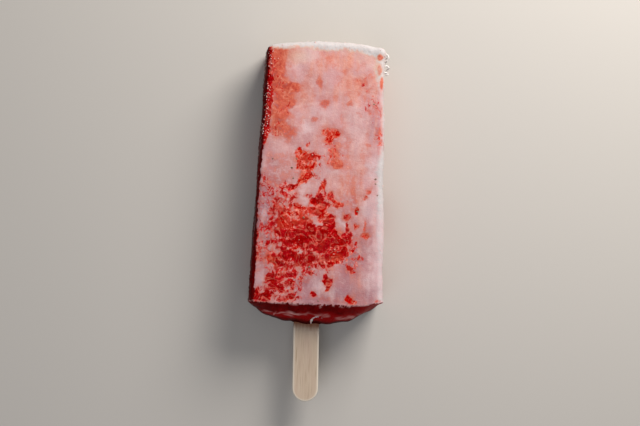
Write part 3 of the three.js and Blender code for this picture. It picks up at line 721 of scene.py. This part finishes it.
# All in layers: cream, veils, pulp, syrup, the cream drawn out in it with its painted wet highlight, the
# lip's pale rim as a painted highlight, warm cream and frost.
rim_patch = add("MapRange", (mottle, 0.45, 0.6), **STEP)
rim_part = add("Math", (field["rim"], rim_patch), **PRODUCT)
tan_part = add("MapRange", (field["tan"], 0, 0.4, 0, 0.6), **STEP)
frost_sum = add("Math", (grain, 0.9, field["frost"]), **SUM)
is_frost = add("MapRange", (frost_sum, 0.6, 1.4), **STEP)
surface = cream
for part, tint in (
    (veil_part, coral), (is_pulp, flesh), (is_syrup, dark), (field["streak"], "#dca09c"),
    (rim_part, "#dca8a4"), (tan_part, "#d8b49c"), (is_frost, "#cdc8c8"),
):
    surface = add("Mix", {FACTOR: part, FIRST: surface, SECOND: tint}, **BLEND)

wet_roughness = add("MapRange", (is_pulp, 0, 1, 0.45, 0.2))
roughness = add("Mix", {0: is_frost, 2: wet_roughness, 3: 0.7})  # the number sockets of a Mix node
glow = add("MapRange", (is_frost, 0, 1, 0.12, 0.03))
bump_height = add("Math", (rime, grain))
plug(shader, {
    "Base Color": surface, "Roughness": roughness, "IOR": 1.33, "Specular IOR Level": 0.06,
    "Normal": add("Bump", {"Height": bump_height, "Distance": 0.10 * MM, "Strength": 0.9}),
    "Subsurface Weight": glow, "Subsurface Radius": (1, 0.55, 0.5), "Subsurface Scale": 1.5 * MM,
})
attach(block, "root")
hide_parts("frozen_block")


# ---------------------------------------- the frost and the flake
# At the tip's right corner the moist air froze onto the bar as curled needles of frost. On the dome, in
# front of the stick, a flake of cream tore as the pop was drawn from its mould and hangs there as a hook.

TUBE_SIDES = 10
FROST_ROOT, CURL_RADIUS, CURL_WANDER, BARBS_ON_CURL = 0.1, 0.34, 0.06, 14
CURL_START, CURL_END, CURL_POINTS = 105, -72, 34  # the angles in degrees
BARB_SHORTEST, BARB_LONGEST, BARB_ROOT, BARB_TIP, BARB_POINTS = 0.35, 0.85, 0.13, 0.03, 6
# each curl's middle along the bar, its half width, its half length and its height
FROST_CURLS = (96.8, 2.3, 1.75, 18.6), (96.4, 1.5, 1, 16.9), (92.9, 2, 0.8, 18.1), (91, 1.2, 0.55, 17)
FLAKE_MIDDLE, FLAKE_REACH, FLAKE_TALL, FLAKE_RISE, FLAKE_WIDTH = (1.3, -7.1, 15.5), 2.5, 2.6, 4, 0.5
FLAKE_START, FLAKE_END, FLAKE_POINTS = 26, 196, 40


def ring_quads(index):
    """The quads between rings of points, each ring a row of the index and closed round on itself."""
    turned = np.roll(index, -1, axis=1)
    return np.stack((index[:-1], index[1:], turned[1:], turned[:-1]), axis=-1).reshape(-1, 4)


def close_rings(rings, poles):
    """Rings of points skinned over, with a pole at each end. Gives points, quads and the end triangles."""
    points = np.concatenate((rings.reshape(-1, 3), poles))
    index = np.arange(len(points) - 2).reshape(rings.shape[:2])
    first, last = (np.full(index.shape[1], len(points) - k) for k in (2, 1))
    start = np.stack((first, index[0], np.roll(index[0], -1)), axis=1)
    finish = np.stack((last, np.roll(index[-1], -1), index[-1]), axis=1)
    return points, ring_quads(index), np.concatenate((start, finish))


def tube(path, radius, flatten=1):
    """A round bar along a path, of rings square to it, each flattened or not in one direction."""
    ahead = np.gradient(path, axis=0)
    ahead /= np.linalg.norm(ahead, axis=1)[:, None]
    across = np.cross(ahead, (0, 0, 1))
    across /= np.linalg.norm(across, axis=1)[:, None]
    up = np.cross(across, ahead)
    angle = (np.arange(TUBE_SIDES) * 2 * math.pi / TUBE_SIDES)[:, None]
    ring = across[:, None] * np.cos(angle) + up[:, None] * np.sin(angle) * flatten
    return close_rings(path[1:-1, None] + ring[1:-1] * radius[1:-1, None, None], path[[0, -1]])


def joined(pieces):
    """Several pieces as one: their points in a row, and their faces counted on from each other."""
    points, *faces = zip(*pieces)
    starts = np.cumsum([0, *map(len, points[:-1])])
    faces = [np.concatenate([part + start for part, start in zip(group, starts)]) for group in faces]
    return np.concatenate(points), *faces


def arc(centre, reach, tall, rise, start, end, count):
    """Points along half an ellipse, from one angle in degrees to another, that also rises with its sine."""
    angle = np.radians(np.linspace(start, end, count))
    return centre + np.stack((reach * np.cos(angle), tall * np.sin(angle), rise * np.sin(angle)), axis=1)


frost_random = np.random.default_rng(7)
needles = []
for y, reach, tall, z in FROST_CURLS:
    centre = np.array((half_width_at(y) - FROST_ROOT, y, z))
    path = arc(centre, reach, tall, 0, CURL_START, CURL_END, CURL_POINTS)
    path += CURL_WANDER * frost_random.normal(size=path.shape).cumsum(axis=0)
    taper = np.sin(np.linspace(0.12, 1, CURL_POINTS) * math.pi) ** 0.4
    needles.append(tube(path, CURL_RADIUS * taper * (1 + 0.3 * frost_random.random(CURL_POINTS))))
    for _ in range(BARBS_ON_CURL):
        # small side crystals that stand out of the curl like barbs
        root = path[frost_random.integers(4, CURL_POINTS - 3)]
        lean = frost_random.normal(size=3) * (0.5, 0.5, 0.9) + (root - centre) / tall
        lean /= np.linalg.norm(lean)
        length = frost_random.uniform(BARB_SHORTEST, BARB_LONGEST)
        barb = root + np.linspace(-FROST_ROOT, length, BARB_POINTS)[:, None] * lean
        needles.append(tube(barb, np.linspace(BARB_ROOT, BARB_TIP, BARB_POINTS)))
frost_needles = build("frost_needles", *joined(needles))

hook = arc(FLAKE_MIDDLE, FLAKE_REACH, FLAKE_TALL, FLAKE_RISE, FLAKE_START, FLAKE_END, FLAKE_POINTS)
t = np.linspace(0, 1, FLAKE_POINTS)
hook_width = FLAKE_WIDTH * np.sin((0.05 + 0.9 * t) * math.pi) ** 0.5
hook_width *= 1 + 0.2 * np.sin(17 * t) + 0.12 * np.sin(1 + 40 * t)
flake = build("hanging_flake", *tube(hook, hook_width, 0.8))

# Hoar frost: clear needles so fine and many-sided that they show white, with a soft shine.
tree, shader = material(frost_needles, "hoar frost")
SPECKLE_MM = 0.5
place = add("TexCoord", out="Object")
speckle = add("TexNoise", {"Vector": place, "Scale": 1 / (SPECKLE_MM * MM), "Detail": 2})
hoar = add("ValToRGB", (speckle,), stops={0.35: "#d9d0cc", 0.65: "#f4f1ee"})
plug(shader, {"Base Color": hoar, "Roughness": 0.5, "IOR": 1.31})

# The flake is the same cream, drawn thin, with pink where it tore out of the syrup.
tree, shader = material(flake, "torn frozen cream")
TEAR_MM = 1.2
place = add("TexCoord", out="Object")
tear = add("TexNoise", {"Vector": place, "Scale": 1 / (TEAR_MM * MM), "Detail": 3})
torn = add("ValToRGB", (tear,), stops={0.3: "#b87a7c", 0.45: "#dcb8b8", 0.6: "#efe2e2"})
plug(shader, {
    "Base Color": torn, "Roughness": 0.3, "IOR": 1.33, "Subsurface Weight": 0.3, "Subsurface Scale": 1.2 * MM,
})
for piece in (frost_needles, flake):
    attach(piece, "root")
    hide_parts("frozen_block")


# ---------------------------------------- ice crystals
# Water that wept from the pulp froze on the skin as small clear beads: thick along the left edge of the
# front, some in the clots, and as rime over the tip. They are one mesh, set into the block's own surface.

EDGE_BEADS, CLOT_BEADS, SIDE_BEADS, TIP_BEADS = 80, 16, 10, 90
BEAD_SMALLEST, BEAD_LARGEST, BEAD_STRETCH, BEAD_UNEVENNESS = 0.08, 0.22, 0.5, 0.18
BEAD_ASIDE, BEAD_LIFT = 0.25, 0.35


def icosahedron():
    """The twelve points (0, +-1, +-golden) in their three turns, at unit length, and the twenty faces."""
    golden = (1 + math.sqrt(5)) / 2
    ends = [(0, a, b * golden) for a in (-1, 1) for b in (-1, 1)]
    points = np.array([np.roll(end, turn) for turn in range(3) for end in ends]) / math.hypot(1, golden)
    apart = np.linalg.norm(points[:, None] - points, axis=2)
    near = np.abs(apart - 2 / math.hypot(1, golden)) < 1e-6
    faces = np.argwhere(near[:, :, None] & near[None] & near[:, None])
    faces = faces[(np.diff(faces, axis=1) > 0).all(axis=1)]
    a, b, c = points[faces.T]
    inward = (np.cross(b - a, c - a) * a).sum(axis=1) < 0
    faces[inward] = faces[inward][:, ::-1]
    return points, faces


bead_random = np.random.default_rng(17)
lit_edge = on_front * smooth(from_left, 0.3, 1.4) * (1 - smooth(from_left, 2.6, 4.6)) * smooth(skin_y, 60, 66)
lit_edge *= 1 - smooth(skin_y, 97, 100)
spots = np.concatenate([
    bead_random.choice(len(skin), count, replace=False, p=weight / weight.sum()) for count, weight in (
        (EDGE_BEADS, lit_edge), (CLOT_BEADS, on_front * pulp ** 3),
        (SIDE_BEADS, left_syrup * rest * (1 - on_base)), (TIP_BEADS, frost ** 2 * rest),
    )
])
bead_points, bead_faces = icosahedron()
size = bead_random.uniform(BEAD_SMALLEST, BEAD_LARGEST, (len(spots), 1, 1))
size = size * (1 + BEAD_STRETCH * bead_random.random((len(spots), 1, 3)))
uneven = bead_points * (1 + BEAD_UNEVENNESS * bead_random.normal(size=(len(spots), 12, 1)))
aside = BEAD_ASIDE * bead_random.normal(size=(len(spots), 3))
out = block_normals[spots]
aside -= (aside * out).sum(axis=1)[:, None] * out
middles = block_points[spots] + aside + BEAD_LIFT * size.mean(axis=2) * out
bead_faces = bead_faces + 12 * np.arange(len(spots))[:, None, None]
crystals = build("ice_crystals", (middles[:, None] + uneven * size).reshape(-1, 3), bead_faces.reshape(-1, 3))

# Clear ice in beads well under a millimetre: it takes the pink of what is under it, and glints.
tree, shader = material(crystals, "clear ice beads")
plug(shader, {
    "Base Color": "#f2c6c0", "Roughness": 0.2, "IOR": 1.31, "Subsurface Weight": 0.2,
    "Subsurface Scale": 0.6 * MM,
})
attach(crystals, "root")
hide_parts("frozen_block")


# ---------------------------------------- strawberry seeds
# The crushed berries left their seeds: small flat teardrops, dark and hard, that show here and there in
# the skin. They are pressed in to half their thickness and are one mesh.

SEED_LENGTH, SEED_WIDTH, SEED_THICKNESS, SEED_SINK = 1.25, 0.85, 0.55, 0.08
SEED_SMALLEST, SEED_LARGEST = 0.75, 1.1  # as shares of that size
FRONT_SEEDS = (
    (19.4, 78), (-5.9, 33.2), (-3.3, 14.2), (1, 1.4), (-18.9, 55), (21.1, 49), (21.3, 47.4),
    (22.3, 43), (14.4, 36), (-9.4, 55.4), (-11.2, 51.8), (-10.6, 48),
)
STREWN_SEEDS = 34
SEED_ROWS, SEED_SIDES = 7, 10

seed_random = np.random.default_rng(29)
front_spots = [np.argmin(((skin - (x, y, BASE_THICKNESS)) ** 2).sum(axis=1)) for x, y in FRONT_SEEDS]
away = rest * off_front * (0.15 + pulp + 0.2 * left_syrup) * (1 - on_base) * (1 - smooth(skin_y, 96, 98))
strewn = seed_random.choice(len(skin), STREWN_SEEDS, replace=False, p=away / away.sum())
# a teardrop: as wide as sin(pi t), and narrower towards its far end
t = np.linspace(0, 1, SEED_ROWS)
width = (np.sin(math.pi * t) * (1.15 - 0.45 * t))[1:-1, None, None]
angle = (np.arange(SEED_SIDES) * 2 * math.pi / SEED_SIDES)[:, None]
seeds = []
for spot in (*front_spots, *strewn):
    normal = block_normals[spot].astype(float)
    ahead = np.cross(normal, seed_random.normal(size=3))
    ahead /= np.linalg.norm(ahead)
    across = np.cross(normal, ahead)
    scale = seed_random.uniform(SEED_SMALLEST, SEED_LARGEST)
    spine = (t - 0.5)[:, None] * SEED_LENGTH * scale * ahead
    ring = (np.cos(angle) * SEED_WIDTH * across + np.sin(angle) * SEED_THICKNESS * normal) / 2
    points, quads, ends = close_rings(spine[1:-1, None] + ring * width * scale, spine[[0, -1]])
    points += block_points[spot] - SEED_SINK * normal
    seeds.append((points, quads[:, (0, 3, 2, 1)], ends[:, (0, 2, 1)]))  # turned to face outwards
seed_piece = build("strawberry_seeds", *joined(seeds))

# A seed's dry husk: brown, darker in patches, with a dull shine.
tree, shader = material(seed_piece, "strawberry seed husk")
DIMPLE_MM = 0.4
place = add("TexCoord", out="Object")
dimple = add("TexNoise", {"Vector": place, "Scale": 1 / (DIMPLE_MM * MM), "Detail": 2})
husk = add("ValToRGB", (dimple,), stops={0.35: "#6a443a", 0.65: "#a0846a"})
plug(shader, {"Base Color": husk, "Roughness": 0.4})
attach(seed_piece, "root")
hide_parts("frozen_block")


# ---------------------------------------- the stick
# A flat stick stamped out of sliced birch and tumbled smooth, so its edges are eased. The bar froze round
# it with most of its length inside, and the syrup has crept a little way down the grain that shows.

STICK_EASE = 0.45
RING_POINTS, INSETS, EASE_STEPS = 360, 14, 5

# The stick is rings round its outline: each is the outline drawn in by some amount, at some height. They
# run from the middle line of one face, over the eased edge and round to the middle line of the other.
flat_insets = np.linspace(STICK_WIDTH / 2 - 0.1, STICK_EASE, INSETS)
turn = np.linspace(0, math.pi / 2, EASE_STEPS + 1)[1:]
half_thick = STICK_THICKNESS / 2
upper = np.concatenate((
    np.stack((flat_insets, np.full(INSETS, half_thick)), axis=1),
    np.stack((STICK_EASE * (1 - np.sin(turn)), half_thick - STICK_EASE * (1 - np.cos(turn))), axis=1),
))
profile = np.concatenate((upper, (upper * (1, -1))[::-1]))
straight = STICK_LENGTH / 2 - STICK_WIDTH / 2
quarter = RING_POINTS // 4


def outline(inset):
    """The stick's outline drawn in by an inset: two straights and two half rounds, at even steps."""
    radius = STICK_WIDTH / 2 - inset
    turn = np.linspace(0, math.pi, quarter, endpoint=False)
    run = np.linspace(straight, -straight, quarter, endpoint=False)
    far = np.stack((radius * np.cos(turn), straight + radius * np.sin(turn)), axis=1)
    left = np.stack((np.full(quarter, -radius), run), axis=1)
    return np.concatenate((far, left, -far, -left))


plank = np.concatenate([
    np.column_stack((outline(inset), np.full(RING_POINTS, height))) for inset, height in profile])
index = np.arange(len(plank)).reshape(-1, RING_POINTS)
# each face closes on its middle line: its innermost ring is sewn to itself, from one round end to the other
low_half = quarter // 2 + np.arange(RING_POINTS // 2 + 1)
mirror = (2 * (quarter // 2) - low_half) % RING_POINTS
sewn = np.stack((low_half[1:-2], low_half[2:-1], mirror[2:-1], mirror[1:-2]), axis=1)
tips = np.array(((low_half[0], low_half[1], mirror[1]), (low_half[-1], mirror[-2], low_half[-2])))
stick_quads = np.concatenate((ring_quads(index), sewn, sewn[:, ::-1] + index[-1, 0]))
stick_tips = np.concatenate((tips, tips[:, ::-1] + index[-1, 0]))

GRAIN_DEPTH, GRAIN_WIDTH, GRAIN_LENGTH = 0.02, 0.5, 14
grain_lines = noise(plank / (GRAIN_WIDTH, GRAIN_LENGTH, GRAIN_WIDTH), 1, 131)
on_faces = np.sign(plank[:, 2]) * (np.abs(plank[:, 2]) > half_thick - GRAIN_DEPTH)
grained = plank.copy()
grained[:, 2] += GRAIN_DEPTH * on_faces * grain_lines
turned = Matrix.Rotation(-STICK_LEAN, 3, "Z") @ Matrix.Rotation(-STICK_DROP, 3, "X")
stick_points = grained @ np.array(turned).T + stick_centre
stick = build("birch_stick", stick_points, stick_quads, stick_tips)

STAIN_WHOLE, STAIN_FADE, STAIN_CREEP = 0.6, 3, 0.8  # it is whole so far below the dome, and then fades
own_place = stick.data.attributes.new("plank", "FLOAT_VECTOR", "POINT")
own_place.data.foreach_set("vector", (plank * MM).astype(np.float32).ravel())
# Where the stick leaves the ice: the syrup's stain, which also stands as the dome's painted shadow.
wet_line = -dome_depth(stick_points[:, 0], stick_points[:, 2]) - STAIN_WHOLE
creep = STAIN_CREEP * noise(plank * (1, 0.15, 1), 1.1, 133)
# Paler towards the eased edges: wear, and a painted highlight.
worn = np.repeat(1 - smooth(profile[:, 0], 0.2, 0.9), RING_POINTS)
paint(stick, stain=smooth(stick_points[:, 1] - wet_line + creep, -STAIN_FADE, 0), worn=worn)

# Sliced birch: pale and even, with straight fibres along the stick, short dark vessels, a dry satin, and worn
# edges that are paler, which also serves as a painted highlight on them. It is stained brown where it leaves
# the ice, a stain that also stands as the dome's painted shadow on the stick.
tree, shader = material(stick, "sliced birch")
FIBRE_MM, FIGURE_MM, VESSEL_MM = 0.35, 3, 0.22
own = add("Attribute", out="Vector", attribute_name="plank")
drawn = add("Mapping", {"Vector": own, "Scale": (1, 0.03, 1)})
fibre = add("TexNoise", {"Vector": drawn, "Scale": 1 / (FIBRE_MM * MM), "Detail": 3, "Roughness": 0.6})
blotted = add("Mapping", {"Vector": own, "Scale": (1, 0.3, 1)})
figure = add("TexNoise", {"Vector": blotted, "Scale": 1 / (FIGURE_MM * MM), "Detail": 2})
vessel = add("TexNoise", {"Vector": drawn, "Scale": 1 / (VESSEL_MM * MM), "Detail": 0})
wood = add("ValToRGB", (fibre,), stops={0.30: "#c2b097", 0.55: "#cfbfa6", 0.75: "#dacdb6"})
for part, tint in (
    (figure, "#c4ab98"), (add("MapRange", (vessel, 0.66, 0.78, 0, 0.35)), "#8a6c4c"),
    (add("Attribute", out="Fac", attribute_name="worn"), "#e6dccb"),
    (add("Attribute", out="Fac", attribute_name="stain"), "#8a5230"),
):
    wood = add("Mix", {FACTOR: part, FIRST: wood, SECOND: tint}, **BLEND)
fibre_bump = add("Bump", {"Height": fibre, "Distance": 0.04 * MM, "Strength": 0.6})
plug(shader, {"Base Color": wood, "Normal": fibre_bump, "Roughness": 0.62})
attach(stick, "root")
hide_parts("stick")


# ---------------------------------------- the table, light, camera
# The pop lies on a plain pale table top. A wide soft light past its tip and a little to its right models
# it, a weak one fills from the other side, and the camera looks almost straight down on the front face.

HALF_TABLE = 1.2  # in metres, as the places of the lights are
table_mesh = bpy.data.meshes.new("table_top")
corners = [(x * HALF_TABLE, y * HALF_TABLE, 0) for x, y in ((-1, -1), (1, -1), (1, 1), (-1, 1))]
table_mesh.from_pydata(corners, [], [(0, 1, 2, 3)])
table = bpy.data.objects.new("table_top", table_mesh)
bpy.context.scene.collection.objects.link(table)
# Painted board: pale grey and matt, so it takes a soft shadow and has no shine of its own.
tree, shader = material(table, "matt painted board")
plug(shader, {"Base Color": "#c9c6c0", "Roughness": 0.8})

POP_MIDDLE = Vector((0, 0, 0.012))


def soft_light(name, place, width, power, tint):
    """A square area light of a given width and power that faces the middle of the pop."""
    lamp = bpy.data.lights.new(name, "AREA")
    lamp.shape, lamp.size, lamp.energy, lamp.color = "SQUARE", width, power, colour(tint)[:3]
    holder = bpy.data.objects.new(name, lamp)
    holder.location = place
    holder.rotation_euler = (POP_MIDDLE - Vector(place)).to_track_quat("-Z", "Y").to_euler()
    bpy.context.scene.collection.objects.link(holder)


soft_light("key_light", (0.20, 0.33, 0.27), 0.26, 2.5, "#fff8f2")
soft_light("fill_light", (-0.15, -0.35, 0.75), 0.6, 1.5, "#f2f4ff")

world = bpy.data.worlds.new("room")
world.use_nodes = True
plug(world.node_tree.nodes["Background"], {"Color": "#f4f1ee", "Strength": 0.2})
bpy.context.scene.world = world
bpy.context.scene.view_settings.view_transform = "Standard"

LENS, SENSOR = 85, 36
CAMERA_DISTANCE = 592
CAMERA_AIM = (0.71, 35.57, 12)
CAMERA_YAW, CAMERA_PITCH, CAMERA_ROLL = (math.radians(angle) for angle in (2.5, 3, 2.37))

facing = Matrix.Rotation(-CAMERA_YAW, 3, "Y") @ Matrix.Rotation(CAMERA_PITCH, 3, "X")
camera_data = bpy.data.cameras.new("camera")
camera_data.lens, camera_data.sensor_width = LENS, SENSOR
camera_data.clip_start, camera_data.clip_end = 0.01, 10
camera = bpy.data.objects.new("camera", camera_data)
camera.rotation_euler = (facing @ Matrix.Rotation(CAMERA_ROLL, 3, "Z")).to_euler()
camera.location = Vector(in_frame(CAMERA_AIM)) + facing.col[2] * CAMERA_DISTANCE * MM
bpy.context.scene.collection.objects.link(camera)
bpy.context.scene.camera = camera
